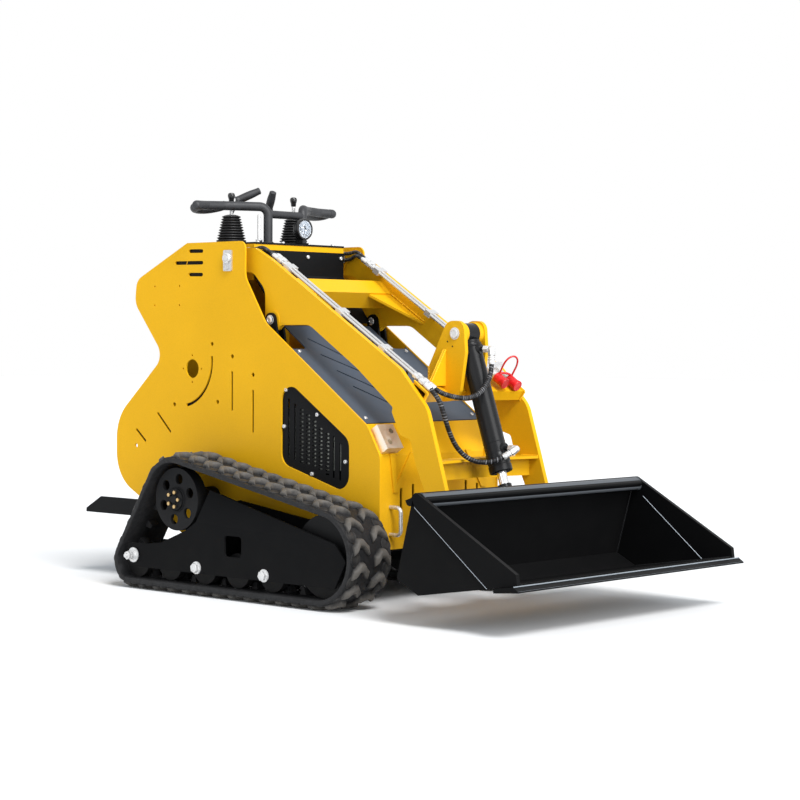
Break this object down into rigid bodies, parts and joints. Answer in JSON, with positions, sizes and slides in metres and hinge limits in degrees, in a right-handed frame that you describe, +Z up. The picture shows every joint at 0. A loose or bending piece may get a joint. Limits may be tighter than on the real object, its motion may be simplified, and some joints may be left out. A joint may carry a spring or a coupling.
{
  "type": "stand-on mini track loader with bucket",
  "caption": "Compact ride-on loader on rubber tracks: slab-sided body, twin lift arms over a sloped hood, tilting bucket in front and a platform to stand on behind.",
  "frame": {"origin": "on the ground, in the middle of the whole machine's box", "axes": "+X towards the bucket, +Y to the machine's left, +Z up"},
  "size_m": [2.161, 1.098, 1.3275],
  "materials": {
    "frame_paint": "semi-gloss yellow enamel",
    "black_paint": "satin black enamel",
    "hood_paint": "slate grey textured paint",
    "zinc": "zinc plated",
    "rod_chrome": "hard chrome",
    "track_rubber": "matt black",
    "hose_rubber": "black hose cover",
    "wheel_iron": "painted black casting",
    "cap_plastic": "red vinyl",
    "bar_grip": "dipped grip over tube",
    "lamp_body": "black housing",
    "valve_metal": "plain block",
    "blade_steel": "worn steel edge"
  },
  "bodies": {
    "chassis": {"belly_pan": "black_paint", "boom_pins": "zinc", "console_cover": "black_paint", "console_frame": "frame_paint", "console_front": "black_paint", "drive_wheels": "wheel_iron", "engine_block": "wheel_iron", "front_panel": "frame_paint", "grilles": "black_paint", "handlebar": "bar_grip", "hood": "hood_paint", "joysticks": "hose_rubber", "levers": "zinc", "lift_bases": "black_paint", "platform": "black_paint", "rear_panel": "frame_paint", "rollers": "wheel_iron", "side_plate_left": "frame_paint", "side_plate_right": "frame_paint", "tie_downs": "frame_paint", "track_frames": "black_paint", "track_left": "track_rubber", "track_right": "track_rubber", "valve_block": "valve_metal", "work_lamp": "lamp_body"},
    "boom": {"arm_right": "frame_paint", "arm_left": "frame_paint", "upper_crossmember": "frame_paint", "lower_crossmember": "frame_paint", "lower_brace": "frame_paint", "hard_lines": "zinc", "arm_hoses": "hose_rubber", "couplers": "zinc", "coupler_caps": "cap_plastic", "tilt_pin": "zinc"},
    "lift_barrel_r": {"lift_barrel_right": "frame_paint"},
    "lift_barrel_l": {"lift_barrel_left": "frame_paint"},
    "lift_rod_r": {"lift_rod_right": "black_paint"},
    "lift_rod_l": {"lift_rod_left": "black_paint"},
    "tilt_cylinder": {"tilt_barrel": "black_paint", "tilt_hose_upper": "hose_rubber", "tilt_hose_lower": "hose_rubber"},
    "tilt_rod_body": {"tilt_rod": "rod_chrome"},
    "bucket": {"bucket_shell": "black_paint", "cutting_edge": "blade_steel", "bucket_carrier": "black_paint"}
  },
  "joints": [
    {"name": "boom_lift", "type": "hinge", "parent": "chassis", "child": "boom", "pos_m": [-0.3545, 0, 1.078], "axis": [0, -1, 0], "range_deg": [0, 70]},
    {"name": "bucket_tilt", "type": "hinge", "parent": "boom", "child": "bucket", "pos_m": [0.5615, 0, 0.2], "axis": [0, 1, 0], "range_deg": [-8, 95]},
    {"name": "lift_barrel_swing_r", "type": "hinge", "parent": "chassis", "child": "lift_barrel_r", "pos_m": [-0.0735, -0.238, 0.262], "axis": [0, -1, 0], "range_deg": [-7.95, 0.01]},
    {"name": "lift_rod_stroke_r", "type": "slide", "parent": "lift_barrel_r", "child": "lift_rod_r", "axis": [-0.1758, 0, 0.9844], "range_m": [-0.0001, 0.2833]},
    {"name": "lift_barrel_swing_l", "type": "hinge", "parent": "chassis", "child": "lift_barrel_l", "pos_m": [-0.0735, 0.238, 0.262], "axis": [0, -1, 0], "range_deg": [-7.95, 0.01]},
    {"name": "lift_rod_stroke_l", "type": "slide", "parent": "lift_barrel_l", "child": "lift_rod_l", "axis": [-0.1758, 0, 0.9844], "range_m": [-0.0001, 0.2833]},
    {"name": "tilt_cylinder_swing", "type": "hinge", "parent": "boom", "child": "tilt_cylinder", "pos_m": [0.4225, 0, 0.837], "axis": [0, -1, 0], "range_deg": [-0.296, 0.026]},
    {"name": "tilt_rod_stroke", "type": "slide", "parent": "tilt_cylinder", "child": "tilt_rod_body", "axis": [0.3188, 0, -0.9478], "range_m": [-0.0128, 0.1517]}
  ],
  "couplings": [
    {"joint": "lift_barrel_swing_r", "follows": "boom_lift", "ratio": -0.11349},
    {"joint": "lift_rod_stroke_r", "follows": "boom_lift", "m_per_rad": 0.2318},
    {"joint": "lift_barrel_swing_l", "follows": "boom_lift", "ratio": -0.11349},
    {"joint": "lift_rod_stroke_l", "follows": "boom_lift", "m_per_rad": 0.2318},
    {"joint": "tilt_cylinder_swing", "follows": "bucket_tilt", "ratio": -0.0031082},
    {"joint": "tilt_rod_stroke", "follows": "bucket_tilt", "m_per_rad": 0.091475}
  ]
}
